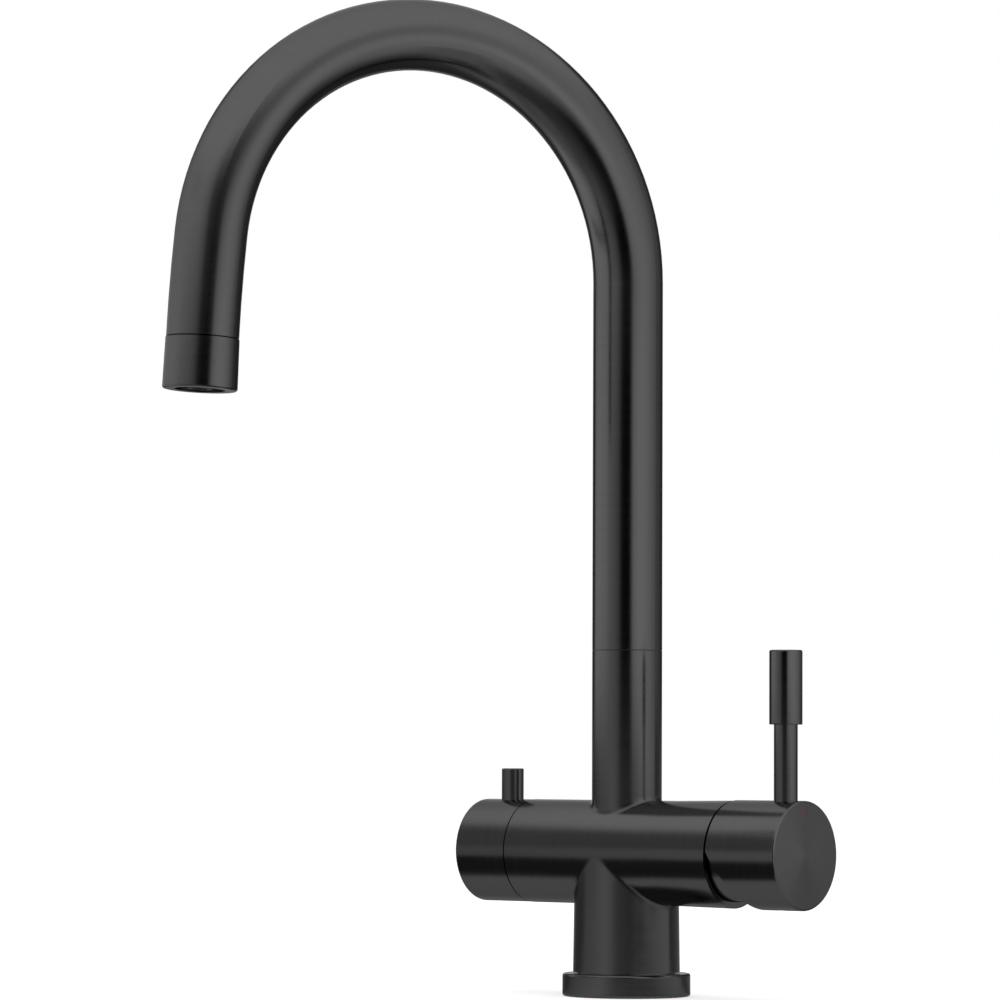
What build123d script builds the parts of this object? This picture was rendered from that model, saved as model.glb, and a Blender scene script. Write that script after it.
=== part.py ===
from build123d import *
import os
from math import acos, asin, cos, degrees, radians, sin, tan

os.makedirs("parts", exist_ok=True)

# Everything is in millimetres. The origin is the centre of the face that stands on the worktop,
# +Z is up, the barrel lies along X and the front of the tap looks along -Y.

# Deck flange
flange_radius = 25.2
flange_height = 9.0
flange_rounding = 1.0
gasket_margin = 1.5
gasket_width = 3.5
gasket_depth = 1.6

# Body casting: column, barrel and riser
barrel_radius = 20.5
column_step = 0.1
column_draft = 0.8
column_blend = 0.8
shadow_gap = 0.5
shoulder_step = 1.0
shoulder_depth = 3.0
shank_radius = 17.0
axis_height = 56.3
barrel_left = 45.7
barrel_right = 53.0
barrel_flare = 0.4
flare_start = 25.0
riser_radius = 13.8
riser_length = 79.3
riser_blend = 1.2
seat_clearance = 0.05
running_clearance = 0.08

# Threaded holes in the foot of the casting
port_pitch_radius = 10.6
port_radius = 4.5
port_depth = 10.0
stud_hole_radius = 3.4
stud_hole_depth = 14.0

# Waterways inside the casting
waterway_radius = 2.5
cartridge_port_offset = 5.5
cartridge_port_drop = 3.2
mixed_port_rise = 6.0
mixed_riser_offset = 7.6
outlet_way_radius = 2.0
gallery_port_rise = 10.3
filter_port_offset = 4.0

# Swivel of the spout
socket_radius = 11.0
socket_depth = 41.0
slip_ring_width = 1.2
slip_ring_height = 4.0
washer_thickness = 0.3
washer_step = 0.1
swivel_film = 0.05
tail_end_gap = 2.0
tail_bore = 8.4
tail_plug_height = 12.0
tail_ring_width = 1.8
tail_ring_depth = 1.3
tail_ring_spacing = 9.0
stop_groove_depth = 1.6
stop_groove_clearance = 0.35
stop_tip_radius = 1.5
stop_tip_reach = 1.2
stop_screw_radius = 2.5
stop_screw_drop = 12.0
stop_screw_sink = 0.6
stop_key_depth = 1.2
swing_half_angle = 60.0
spout_turn = -21.65

# Spout, with the tube as thick as the riser
tube_wall = 1.2
tube_straight = 145.25
bend_radius = 92.0
bend_angle = 173.6
easing_length = 40.2
easing_angle = 3.4
outlet_step = 0.2
outlet_length = 19.7
outlet_draft = 0.8
outlet_bore = 9.6
outlet_rounding = 0.8
outlet_spigot = 8.0
spigot_clearance = 0.1
aerator_recess = 1.6
aerator_height = 7.0
aerator_hole_radius = 0.9
aerator_holes = 18
seam_gap = 0.35
seam_depth = 1.0
outlet_neck_bore = 8.6
sieve_thickness = 0.6
outlet_seal_thickness = 1.5
filter_tube_radius = 3.6
filter_tube_wall = 0.7
filter_tail_depth = 8.0
filter_tail_seal = 1.0
filter_seal_height = 2.0
nozzle_radius = 4.75
nozzle_bore = 3.4
nozzle_length = 14.0
nozzle_recess = 0.3
nozzle_socket = 8.0

# Mixer cartridge, 25 mm size
cartridge_radius = 12.4
cartridge_wall = 1.1
cartridge_depth = 27.0
seal_height = 0.6
base_thickness = 4.4
disc_thickness = 3.5
disc_film = 0.02
moving_disc_radius = 8.5
carrier_radius = 8.3
carrier_height = 4.6
carrier_floor = 1.0
rotor_gap = 0.4
rotor_flange_height = 2.4
rotor_neck_radius = 9.9
rotor_slot_height = 14.0
rotor_set_back = 0.6
mouth_run_out = 0.6
neck_wall = 1.5
shoulder_thickness = 1.5
cartridge_port_radius = 2.4
seal_wall = 0.9

# Lever and pivot of the mixer
pivot_inset = 0.5
lever_arm = 11.0
lever_tilt = 25.0
stem_tip_radius = 2.3
stem_shank_radius = 1.8
stem_heel = 4.0
tip_clearance = 0.3
carrier_flat = 6.0
guide_clearance = 0.15
guide_reach = 5.0
guide_outer = 8.5
stem_square = 7.0
stem_length = 22.0
stem_chamfer = 0.6
pin_radius = 1.5
pin_set_back = 0.9
nut_radius = 14.0
nut_stand_out = 4.5
cover_ring_groove = 0.7
cover_ring_neck = 16.5
cover_ring_opening = 12.0
cover_ring_rim = 0.5
nut_slot_width = 3.0
nut_slot_depth = 1.5
turning_gap = 0.3

# Mixer cap, rod and grip
mixer_cap_overhang = 0.6
mixer_cap_gap = 1.1
mixer_cap_length = 32.2
mixer_cap_wall = 2.4
mixer_cap_rounding = 0.8
relief_angle = 31.0
relief_rise = 1.5
stem_boss_radius = 7.0
stem_boss_start = 9.0
rod_radius = 4.6
rod_inset = 9.25
rod_sink = 9.0
grip_radius = 6.4
grip_rise = 50.3
grip_length = 28.7
grip_socket = 18.0
grip_rounding = 0.7
mixer_screw_radius = 2.5
mixer_screw_length = 8.0
stem_screw_place = 18.5

# Filtered water headwork
headwork_radius = 10.4
headwork_depth = 21.7
headwork_wall = 2.4
headwork_flange_width = 22.0
headwork_flange_height = 4.5
headwork_neck_radius = 7.0
headwork_neck_height = 5.0
headwork_window_width = 7.0
headwork_window_length = 4.0
headwork_seal_width = 1.8
headwork_seal_depth = 1.3
headwork_seal_drop = 1.6
seat_seal_bore = 6.4
gallery_depth = 1.1
seat_seal_thickness = 1.4
filter_disc_thickness = 3.1
filter_port_radius = 2.2
spindle_foot_height = 4.0
spindle_foot_gap = 0.4
spindle_radius = 4.0
spindle_ring_spacing = 4.0
spindle_ring_width = 1.2
spindle_ring_depth = 0.9
spindle_ring_start = 5.0
spline_length = 8.0
spline_teeth = 16
spline_depth = 0.6
clip_thickness = 0.8
clip_width = 2.2
clip_groove_depth = 0.8
clip_opening = 3.0

# Filter cap and its pin
filter_cap_inset = 0.1
filter_cap_gap = 0.6
filter_cap_length = 24.6
filter_cap_end_wall = 4.4
filter_cap_wall = 2.8
filter_cap_hollow = 6.0
filter_cap_rounding = 0.8
cap_neck_clearance = 0.8
pin_lever_radius = 4.4
pin_lever_inset = 13.1
pin_lever_rise = 32.7
pin_lever_sink = 11.5
pin_lever_rounding = 0.6
filter_screw_radius = 2.0
filter_screw_length = 7.0
filter_screw_inset = 7.4

# Places worked out from the sizes above
column_radius = barrel_radius - column_step
column_foot = flange_height + shadow_gap
column_foot_radius = column_radius + (axis_height - column_foot) * tan(radians(column_draft))
shoulder_radius = column_radius - shoulder_step
shoulder_foot = flange_height - shoulder_depth
gasket_outer = flange_radius - gasket_margin
gasket_inner = gasket_outer - gasket_width
riser_top = axis_height + riser_length
socket_floor = riser_top - socket_depth
chamber_floor = barrel_right - cartridge_depth
chamber_radius = cartridge_radius + seat_clearance
mouth_radius = nut_radius + seat_clearance
headwork_floor = barrel_left - headwork_depth
pivot_x = barrel_right - pivot_inset
stem_lean = lever_tilt / 2
disc_offset = lever_arm * sin(radians(stem_lean))
base_top = chamber_floor + seal_height + base_thickness
fixed_disc_top = base_top + disc_thickness
moving_disc_foot = fixed_disc_top + disc_film
moving_disc_top = moving_disc_foot + disc_thickness
carrier_top = moving_disc_top + carrier_height
rotor_foot = carrier_top + rotor_gap
rotor_step = rotor_foot + rotor_flange_height
housing_bore = cartridge_radius - cartridge_wall
neck_bore = rotor_neck_radius + running_clearance
neck_radius = neck_bore + neck_wall
neck_step = rotor_step + running_clearance
nut_foot = neck_step + shoulder_thickness
nut_top = barrel_right + nut_stand_out
rotor_top = nut_top - rotor_set_back
cover_ring_foot = barrel_right + cover_ring_groove
pin_length = 2 * (rotor_neck_radius - pin_set_back)
mixer_cap_radius = barrel_radius + mixer_cap_overhang
cap_foot = barrel_right + mixer_cap_gap
mixer_cap_end = cap_foot + mixer_cap_length
mixer_cap_bore = mixer_cap_radius - mixer_cap_wall
web_foot = pivot_x + mixer_cap_bore
rod_position = mixer_cap_end - rod_inset
grip_bottom = axis_height + grip_rise
spout_foot = riser_top + washer_thickness + swivel_film
tube_radius = riser_radius
tube_bore = tube_radius - tube_wall
outlet_radius = tube_radius + outlet_step
tail_radius = socket_radius - running_clearance
tail_foot = socket_floor + tail_end_gap
stop_height = riser_top - stop_screw_drop
easing_radius = easing_length / radians(easing_angle)
filter_bore_radius = filter_tube_radius + filter_tail_seal
filter_tail_foot = socket_floor - filter_tail_depth
headwork_chamber = headwork_radius - headwork_wall
disc_seat = headwork_floor + seat_seal_thickness
filter_disc_top = disc_seat + filter_disc_thickness
filter_moving_foot = filter_disc_top + disc_film
spindle_foot = filter_moving_foot + filter_disc_thickness
spindle_step = spindle_foot + spindle_foot_height
chamber_top = spindle_step + spindle_foot_gap
neck_top = barrel_left + headwork_flange_height + headwork_neck_height
clip_foot = neck_top + running_clearance
filter_cap_radius = barrel_radius - filter_cap_inset
filter_cap_foot = barrel_left + filter_cap_gap
filter_cap_end = filter_cap_foot + filter_cap_length
filter_web_foot = filter_cap_foot + filter_cap_hollow
spindle_end = filter_cap_end - filter_cap_end_wall
filter_screw_position = filter_cap_end - filter_screw_inset
pin_lever_position = filter_cap_end - pin_lever_inset
pin_lever_top = axis_height + pin_lever_rise
headwork_seal_place = barrel_left - headwork_seal_drop
tail_ring_places = (tail_foot + tail_ring_spacing / 2, tail_foot + tail_ring_spacing * 3 / 2)
filter_seal_foot = filter_tail_foot + 2 * filter_seal_height
aerator_place = outlet_length - aerator_recess - aerator_height
sieve_place = aerator_place - sieve_thickness
seal_place = sieve_place - outlet_seal_thickness
nozzle_foot = outlet_length - nozzle_recess - nozzle_length
filter_tube_end = nozzle_foot + nozzle_socket
aerator_ring_radius = (outlet_bore + nozzle_radius) / 2

# Planes that several pieces share
turn = radians(spout_turn)
spout_plane = Plane(origin=(0, 0, 0), x_dir=(sin(turn), -cos(turn), 0), z_dir=(-cos(turn), -sin(turn), 0))
stem_plane = Plane(
    origin=(pivot_x, 0, axis_height),
    x_dir=(0, 1, 0),
    z_dir=(cos(radians(stem_lean)), 0, sin(radians(stem_lean))),
)
pin_plane = Plane(origin=(pivot_x, -pin_length / 2, axis_height), x_dir=(1, 0, 0), z_dir=(0, 1, 0))
mixer_screw_plane = Plane(
    origin=stem_plane.offset(stem_screw_place).origin - stem_plane.y_dir * stem_square / 2,
    x_dir=(0, 1, 0),
    z_dir=-stem_plane.y_dir,
)
filter_screw_plane = Plane(
    origin=(-filter_screw_position, 0, axis_height - spindle_radius), x_dir=(1, 0, 0), z_dir=(0, 0, -1)
)
spout_level = Plane(origin=(0, 0, 0), x_dir=(cos(turn), sin(turn), 0), z_dir=(0, 0, 1))
stop_plane = Plane(origin=(0, 0, stop_height), x_dir=(1, 0, 0), z_dir=(0, 1, 0))


def level(height):
    """Horizontal plane at a height above the worktop."""
    return Plane.XY.offset(height)


def right_slice(place):
    """Plane across the barrel at a distance to the right of the column, looking right."""
    return Plane(origin=(place, 0, axis_height), x_dir=(0, 1, 0), z_dir=(1, 0, 0))


def upright(place, height):
    """Horizontal plane on the barrel's length, at a distance to the right of the column."""
    return Plane(origin=(place, 0, height), x_dir=(1, 0, 0), z_dir=(0, 0, 1))


def left_slice(place):
    """Plane across the barrel at a distance to the left of the column, looking left."""
    return Plane(origin=(-place, 0, axis_height), x_dir=(0, -1, 0), z_dir=(-1, 0, 0))


def stem_slice(place):
    """Plane across the leaning stem at a distance from its pivot, looking outward."""
    return stem_plane.offset(place)


def round_bar(plane, length, outer, inner=0.0, mode=Mode.ADD):
    """Add or cut a round bar or tube that starts on a plane and runs along its normal."""
    with BuildSketch(plane) as section:
        Circle(outer)
        if inner > 0:
            Circle(inner, mode=Mode.SUBTRACT)
    extrude(section.sketch, amount=length, mode=mode)


def bores(plane, places, radius, depth):
    """Cut round holes of one size into a piece, at places on a plane."""
    with BuildSketch(plane) as section:
        with Locations(*places):
            Circle(radius)
    extrude(section.sketch, amount=depth, mode=Mode.SUBTRACT)


def key_socket(plane, screw_radius, depth):
    """Cut the hexagon socket of a grub screw, from its head down to a depth."""
    with BuildSketch(plane.offset(-depth)) as section:
        RegularPolygon(screw_radius / 2, 6)
    extrude(section.sketch, amount=depth, mode=Mode.SUBTRACT)


def seal_groove(plane, outer, inner, thickness):
    """Cut the groove for a seal ring into a shaft, centred on a plane."""
    round_bar(plane.offset(-thickness / 2), thickness, outer, inner, Mode.SUBTRACT)


def seal_ring(plane, outer, inner, thickness):
    """Add a seal ring centred on a plane, with its corners cut off."""
    with BuildSketch(plane.offset(-thickness / 2)) as section:
        Circle(outer)
        Circle(inner, mode=Mode.SUBTRACT)
    extrude(section.sketch, amount=thickness)
    chamfer(edges(Select.LAST), length=min(thickness, outer - inner) / 4)


def finish(part, name):
    """Label a finished piece and write it out."""
    part.label = name
    export_step(part, f"parts/{name}.step")


# Centre line of the spout, from the swivel to the end of the bent tube
with BuildLine(spout_plane) as spout_line:
    riser_line = Line((0, spout_foot), (0, spout_foot + tube_straight))
    bend_line = JernArc(riser_line @ 1, riser_line % 1, bend_radius, -bend_angle)
    easing_line = JernArc(bend_line @ 1, bend_line % 1, easing_radius, -easing_angle)
outlet_plane = Plane(origin=easing_line @ 1, x_dir=spout_plane.z_dir, z_dir=easing_line % 1)

# Base
with BuildPart() as deck_flange:
    round_bar(level(0), flange_height, flange_radius)
    fillet(deck_flange.edges(), flange_rounding)
    round_bar(level(0), flange_height, shank_radius + seat_clearance, mode=Mode.SUBTRACT)
    round_bar(level(shoulder_foot), shoulder_depth, shoulder_radius + seat_clearance, mode=Mode.SUBTRACT)
    round_bar(level(0), gasket_depth, gasket_outer, gasket_inner, Mode.SUBTRACT)
finish(deck_flange.part, "deck_flange")

with BuildPart() as flange_gasket:
    round_bar(level(0), gasket_depth, gasket_outer, gasket_inner)
finish(flange_gasket.part, "flange_gasket")

# Body casting
port_step = port_pitch_radius / 2**0.5
hot_port = (-port_step, -port_step)
cold_port = (port_step, port_step)
filter_port = (-port_step, port_step)
stud_port = (port_step, -port_step)

with BuildPart() as tap_body:
    with BuildSketch(level(column_foot)) as column_section:
        Circle(column_foot_radius)
    extrude(column_section.sketch, amount=axis_height - column_foot, taper=column_draft)
    round_bar(left_slice(barrel_left), -barrel_left - barrel_right, barrel_radius)
    fillet(tap_body.edges(Select.NEW), column_blend)
    # the barrel widens a little towards the mixer cap
    with BuildSketch(right_slice(flare_start)) as flare_foot:
        Circle(barrel_radius)
    with BuildSketch(right_slice(barrel_right)) as flare_end:
        Circle(barrel_radius + barrel_flare)
    loft([flare_foot.sketch, flare_end.sketch])
    round_bar(level(axis_height), riser_top - axis_height, riser_radius)
    fillet(tap_body.edges(Select.NEW), riser_blend)
    round_bar(level(0), column_foot, shank_radius)
    round_bar(level(shoulder_foot), column_foot - shoulder_foot, shoulder_radius)
    # cartridge chamber and its threaded mouth
    round_bar(right_slice(chamber_floor), cartridge_depth, chamber_radius, mode=Mode.SUBTRACT)
    mouth_floor = nut_foot - mouth_run_out
    round_bar(right_slice(mouth_floor), barrel_right - mouth_floor, mouth_radius, mode=Mode.SUBTRACT)
    # headwork chamber and the gallery round its windows
    headwork_bore = headwork_radius + seat_clearance
    round_bar(left_slice(headwork_floor), headwork_depth, headwork_bore, mode=Mode.SUBTRACT)
    round_bar(
        left_slice(filter_disc_top), filter_disc_thickness + headwork_window_length / 2,
        headwork_radius + gallery_depth, mode=Mode.SUBTRACT,
    )
    # spout socket, slip ring seat and the small bore for the filtered water tube
    round_bar(level(socket_floor), socket_depth, socket_radius, mode=Mode.SUBTRACT)
    slip_ring_seat = level(riser_top - slip_ring_height)
    round_bar(slip_ring_seat, slip_ring_height, socket_radius + slip_ring_width, mode=Mode.SUBTRACT)
    filter_tail_bore = filter_bore_radius + running_clearance
    round_bar(level(filter_tail_foot), filter_tail_depth, filter_tail_bore, mode=Mode.SUBTRACT)
    # threaded holes in the foot, with waterways from them up to the level of the cartridge's inlets
    inlet_passage = axis_height - cartridge_port_drop
    bores(level(0), (hot_port, cold_port, filter_port), port_radius, port_depth)
    bores(level(0), (hot_port, cold_port, filter_port), waterway_radius, inlet_passage)
    bores(level(0), (stud_port,), stud_hole_radius, stud_hole_depth)
    # hot and cold waterways to the cartridge, filtered water to the headwork
    cartridge_floor = right_slice(chamber_floor)
    hot_inlet = (-cartridge_port_offset, -cartridge_port_drop)
    cold_inlet = (cartridge_port_offset, -cartridge_port_drop)
    filter_inlet = (-filter_port_offset, -cartridge_port_drop)
    bores(cartridge_floor, (hot_inlet,), waterway_radius, -chamber_floor - port_step)
    bores(cartridge_floor, (cold_inlet,), waterway_radius, port_step - chamber_floor)
    bores(left_slice(headwork_floor), (filter_inlet,), waterway_radius, port_step - headwork_floor)
    # mixed water from the cartridge to the spout's socket
    mixed_passage = axis_height + mixed_port_rise
    bores(cartridge_floor, ((0, mixed_port_rise),), waterway_radius, mixed_riser_offset - chamber_floor)
    bores(level(mixed_passage), ((mixed_riser_offset, 0),), outlet_way_radius, socket_floor - mixed_passage)
    # filtered water from the gallery to the small bore
    gallery_centre = filter_disc_top + filter_disc_thickness / 2
    gallery_passage = axis_height + gallery_port_rise
    bores(left_slice(gallery_centre), ((0, gallery_port_rise),), outlet_way_radius, -gallery_centre)
    bores(level(gallery_passage), ((0, 0),), outlet_way_radius, filter_tail_foot - gallery_passage)
    # threaded hole for the stop screw, at the back of the riser
    bores(stop_plane, ((0, 0),), stop_screw_radius, riser_radius)
finish(tap_body.part, "tap_body")

# Mixer cartridge
port_places = (
    (-cartridge_port_offset, -cartridge_port_drop),
    (cartridge_port_offset, -cartridge_port_drop),
    (0, mixed_port_rise),
)

with BuildPart() as cartridge_base:
    round_bar(right_slice(chamber_floor + seal_height), base_thickness, cartridge_radius)
    bores(right_slice(chamber_floor + seal_height), port_places, cartridge_port_radius, base_thickness)
finish(cartridge_base.part, "cartridge_base")

with BuildPart() as cartridge_port_seals:
    with BuildSketch(right_slice(chamber_floor)) as seal_sections:
        with Locations(*port_places):
            Circle(cartridge_port_radius + seal_wall)
            Circle(cartridge_port_radius, mode=Mode.SUBTRACT)
    extrude(seal_sections.sketch, amount=seal_height)
finish(cartridge_port_seals.part, "cartridge_port_seals")

with BuildPart() as mixer_fixed_disc:
    round_bar(right_slice(base_top), disc_thickness, housing_bore - seat_clearance)
    bores(right_slice(base_top), port_places, cartridge_port_radius, disc_thickness)
finish(mixer_fixed_disc.part, "mixer_fixed_disc")

slider_plane = Plane(
    origin=(moving_disc_foot, 0, axis_height - disc_offset), x_dir=(0, 1, 0), z_dir=(1, 0, 0)
)

with BuildPart() as mixer_moving_disc:
    round_bar(slider_plane, disc_thickness, moving_disc_radius)
    with BuildSketch(slider_plane) as mixing_pocket:
        SlotCenterToCenter(cartridge_port_radius, 2 * cartridge_port_radius, rotation=90)
    extrude(mixing_pocket.sketch, amount=disc_thickness / 2, mode=Mode.SUBTRACT)
finish(mixer_moving_disc.part, "mixer_moving_disc")

with BuildPart() as disc_carrier:
    with BuildSketch(slider_plane.offset(disc_thickness)) as carrier_section:
        Circle(carrier_radius)
        Rectangle(2 * carrier_flat, 2 * carrier_radius, mode=Mode.INTERSECT)
    extrude(carrier_section.sketch, amount=carrier_height)
    round_bar(
        slider_plane.offset(disc_thickness + carrier_floor), carrier_height,
        stem_tip_radius + tip_clearance, mode=Mode.SUBTRACT,
    )
finish(disc_carrier.part, "disc_carrier")

with BuildPart() as cartridge_rotor:
    round_bar(right_slice(rotor_foot), rotor_flange_height, housing_bore - running_clearance)
    round_bar(right_slice(rotor_step), rotor_top - rotor_step, rotor_neck_radius)
    # two rails that make the carrier turn with the rotor and let it slide up and down
    guide_foot = moving_disc_top + turning_gap
    guide_inner = carrier_flat + guide_clearance
    with BuildSketch(right_slice(guide_foot)) as guides:
        for side in (-1, 1):
            with Locations((side * (guide_inner + guide_outer) / 2, 0)):
                Rectangle(guide_outer - guide_inner, 2 * guide_reach)
    extrude(guides.sketch, amount=rotor_foot - guide_foot)
    with BuildSketch(right_slice(rotor_foot)) as slot:
        Rectangle(stem_square + 2 * guide_clearance, rotor_slot_height)
    extrude(slot.sketch, amount=rotor_top - rotor_foot, mode=Mode.SUBTRACT)
    round_bar(pin_plane, pin_length, pin_radius, mode=Mode.SUBTRACT)
finish(cartridge_rotor.part, "cartridge_rotor")

with BuildPart() as lever_pivot_pin:
    round_bar(pin_plane, pin_length, pin_radius)
finish(lever_pivot_pin.part, "lever_pivot_pin")

with BuildPart() as cartridge_stem:
    with BuildSketch(stem_slice(-stem_heel)) as square_section:
        Rectangle(stem_square, stem_square)
    extrude(square_section.sketch, amount=stem_heel + stem_length)
    chamfer(edges().group_by(Axis(stem_plane.origin, stem_plane.z_dir))[-1], stem_chamfer)
    round_bar(stem_slice(-lever_arm), lever_arm, stem_shank_radius)
    with Locations(stem_slice(-lever_arm)):
        Sphere(stem_tip_radius)
    round_bar(pin_plane, pin_length, pin_radius + seat_clearance, mode=Mode.SUBTRACT)
finish(cartridge_stem.part, "cartridge_stem")

with BuildPart() as cartridge_housing:
    round_bar(right_slice(base_top), nut_foot - base_top, cartridge_radius, housing_bore)
    round_bar(right_slice(neck_step), rotor_top - neck_step, neck_radius, neck_bore)
    round_bar(right_slice(neck_step), nut_foot - neck_step, cartridge_radius, neck_bore)
finish(cartridge_housing.part, "cartridge_housing")

with BuildPart() as retaining_nut:
    round_bar(right_slice(nut_foot), nut_top - nut_foot, nut_radius, neck_radius + seat_clearance)
    with BuildSketch(right_slice(nut_top - nut_slot_depth)) as spanner_slots:
        with PolarLocations((nut_radius + neck_radius) / 2, 6):
            Rectangle(nut_radius - neck_radius + nut_slot_width, nut_slot_width)
    extrude(spanner_slots.sketch, amount=nut_slot_depth, mode=Mode.SUBTRACT)
finish(retaining_nut.part, "retaining_nut")

# domed collar round the pivot, which closes the cap's relief at every tilt
with BuildPart() as cover_ring:
    dome_radius = mixer_cap_bore - turning_gap
    dome_start = degrees(acos((cover_ring_foot - pivot_x) / dome_radius))
    dome_end = degrees(asin((cover_ring_opening + cover_ring_rim) / dome_radius))
    with BuildSketch(Plane.XZ) as cover_ring_section:
        with BuildLine():
            dome = CenterArc((pivot_x, axis_height), dome_radius, dome_end, dome_start - dome_end)
            Polyline(
                dome @ 1,
                (cover_ring_foot, axis_height + cover_ring_neck),
                (barrel_right, axis_height + cover_ring_neck),
                (barrel_right, axis_height + mouth_radius),
                (nut_top, axis_height + mouth_radius),
                (nut_top, axis_height + cover_ring_opening),
                ((dome @ 0).X, axis_height + cover_ring_opening),
                dome @ 0,
            )
        make_face()
    revolve(cover_ring_section.sketch, axis=Axis((0, 0, axis_height), (1, 0, 0)))
finish(cover_ring.part, "cover_ring")

# Mixer cap with its lever
with BuildPart() as mixer_cap:
    round_bar(right_slice(cap_foot), mixer_cap_end - cap_foot, mixer_cap_radius)
    fillet(edges().group_by(Axis.X)[-1], mixer_cap_rounding)
    round_bar(right_slice(cap_foot), web_foot - cap_foot, mixer_cap_bore, mode=Mode.SUBTRACT)
    # boss for the leaning stem, sunk into the web behind it
    boss_end = (web_foot - pivot_x) / cos(radians(stem_lean)) + stem_boss_radius * tan(radians(stem_lean))
    round_bar(stem_slice(stem_boss_start), boss_end - stem_boss_start, stem_boss_radius)
    with BuildSketch(stem_slice(stem_boss_start)) as stem_socket:
        Rectangle(stem_square, stem_square)
    extrude(stem_socket.sketch, amount=stem_length - stem_boss_start, mode=Mode.SUBTRACT)
    # slanted relief that lets the cap tilt away from the barrel
    relief_drop = mixer_cap_radius + mixer_cap_gap
    relief_run = (relief_rise + relief_drop) * tan(radians(relief_angle))
    with BuildSketch(Plane.XZ) as relief:
        with BuildLine():
            Polyline(
                (cap_foot - mixer_cap_gap, axis_height + relief_rise),
                (cap_foot, axis_height + relief_rise),
                (cap_foot + relief_run, axis_height - relief_drop),
                (cap_foot - mixer_cap_gap, axis_height - relief_drop),
                close=True,
            )
        make_face()
    extrude(relief.sketch, amount=mixer_cap_radius, both=True, mode=Mode.SUBTRACT)
    round_bar(upright(rod_position, axis_height + rod_sink), mixer_cap_radius, rod_radius, mode=Mode.SUBTRACT)
    round_bar(mixer_screw_plane, 2 * mixer_cap_radius, mixer_screw_radius, mode=Mode.SUBTRACT)
finish(mixer_cap.part, "mixer_cap")

with BuildPart() as mixer_grub_screw:
    round_bar(mixer_screw_plane, mixer_screw_length, mixer_screw_radius)
    key_socket(mixer_screw_plane.offset(mixer_screw_length), mixer_screw_radius, mixer_screw_length / 2)
finish(mixer_grub_screw.part, "mixer_grub_screw")

with BuildPart() as lever_rod:
    rod_top = grip_bottom + grip_socket
    round_bar(upright(rod_position, axis_height + rod_sink), rod_top - axis_height - rod_sink, rod_radius)
finish(lever_rod.part, "lever_rod")

with BuildPart() as lever_grip:
    round_bar(upright(rod_position, grip_bottom), grip_length, grip_radius)
    fillet(edges().group_by(Axis.Z)[-1], grip_rounding)
    fillet(edges().group_by(Axis.Z)[0], grip_rounding / 2)
    round_bar(upright(rod_position, grip_bottom), grip_socket, rod_radius, mode=Mode.SUBTRACT)
finish(lever_grip.part, "lever_grip")

# Filtered water headwork
headwork_seal_inner = headwork_radius - headwork_seal_depth

with BuildPart() as headwork_body:
    skirt_foot = headwork_floor + turning_gap
    round_bar(left_slice(skirt_foot), barrel_left - skirt_foot, headwork_radius)
    with BuildSketch(left_slice(barrel_left)) as hexagon:
        RegularPolygon(headwork_flange_width / 2, 6, major_radius=False)
    extrude(hexagon.sketch, amount=headwork_flange_height)
    round_bar(left_slice(barrel_left), neck_top - barrel_left, headwork_neck_radius)
    round_bar(left_slice(skirt_foot), chamber_top - skirt_foot, headwork_chamber, mode=Mode.SUBTRACT)
    spindle_bore = spindle_radius + running_clearance
    round_bar(left_slice(skirt_foot), neck_top - skirt_foot, spindle_bore, mode=Mode.SUBTRACT)
    seal_groove(left_slice(headwork_seal_place), headwork_radius, headwork_seal_inner, headwork_seal_width)
    with BuildSketch(Plane.XZ) as window:
        with Locations((-gallery_centre, axis_height)):
            Rectangle(headwork_window_length, headwork_window_width)
    extrude(window.sketch, amount=headwork_radius, both=True, mode=Mode.SUBTRACT)
finish(headwork_body.part, "headwork_body")

with BuildPart() as headwork_seal:
    seal_ring(left_slice(headwork_seal_place), headwork_bore, headwork_seal_inner, headwork_seal_width)
finish(headwork_seal.part, "headwork_seal")

seat_radius = headwork_chamber - seat_clearance

with BuildPart() as filter_seat_seal:
    round_bar(left_slice(headwork_floor), seat_seal_thickness, seat_radius, seat_seal_bore)
finish(filter_seat_seal.part, "filter_seat_seal")

with BuildPart() as filter_fixed_disc:
    round_bar(left_slice(disc_seat), filter_disc_thickness, seat_radius)
    fixed_ports = ((-filter_port_offset, 0), (filter_port_offset, 0))
    bores(left_slice(disc_seat), fixed_ports, filter_port_radius, filter_disc_thickness)
finish(filter_fixed_disc.part, "filter_fixed_disc")

foot_radius = headwork_chamber - turning_gap

with BuildPart() as filter_moving_disc:
    round_bar(left_slice(filter_moving_foot), filter_disc_thickness, foot_radius)
    side_cuts = ((0, -foot_radius), (0, foot_radius))
    bores(left_slice(filter_moving_foot), side_cuts, 2 * filter_port_radius, filter_disc_thickness)
finish(filter_moving_disc.part, "filter_moving_disc")

first_ring_place = spindle_step + spindle_ring_start
ring_places = (first_ring_place, first_ring_place + spindle_ring_spacing)
spindle_ring_inner = spindle_radius - spindle_ring_depth
clip_inner = spindle_radius - clip_groove_depth

with BuildPart() as filter_spindle:
    round_bar(left_slice(spindle_foot), spindle_foot_height, foot_radius)
    round_bar(left_slice(spindle_foot), spindle_end - spindle_foot, spindle_radius)
    for place in ring_places:
        seal_groove(left_slice(place), spindle_radius, spindle_ring_inner, spindle_ring_width)
    round_bar(left_slice(clip_foot), clip_thickness, spindle_radius, clip_inner, Mode.SUBTRACT)
    with BuildSketch(left_slice(spindle_end - spline_length)) as spline_gaps:
        with PolarLocations(spindle_radius, spline_teeth):
            Rectangle(spline_depth, spline_depth)
    extrude(spline_gaps.sketch, amount=spline_length, mode=Mode.SUBTRACT)
finish(filter_spindle.part, "filter_spindle")

with BuildPart() as spindle_seals:
    for place in ring_places:
        seal_ring(left_slice(place), spindle_radius, spindle_ring_inner, spindle_ring_width)
finish(spindle_seals.part, "spindle_seals")

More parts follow.
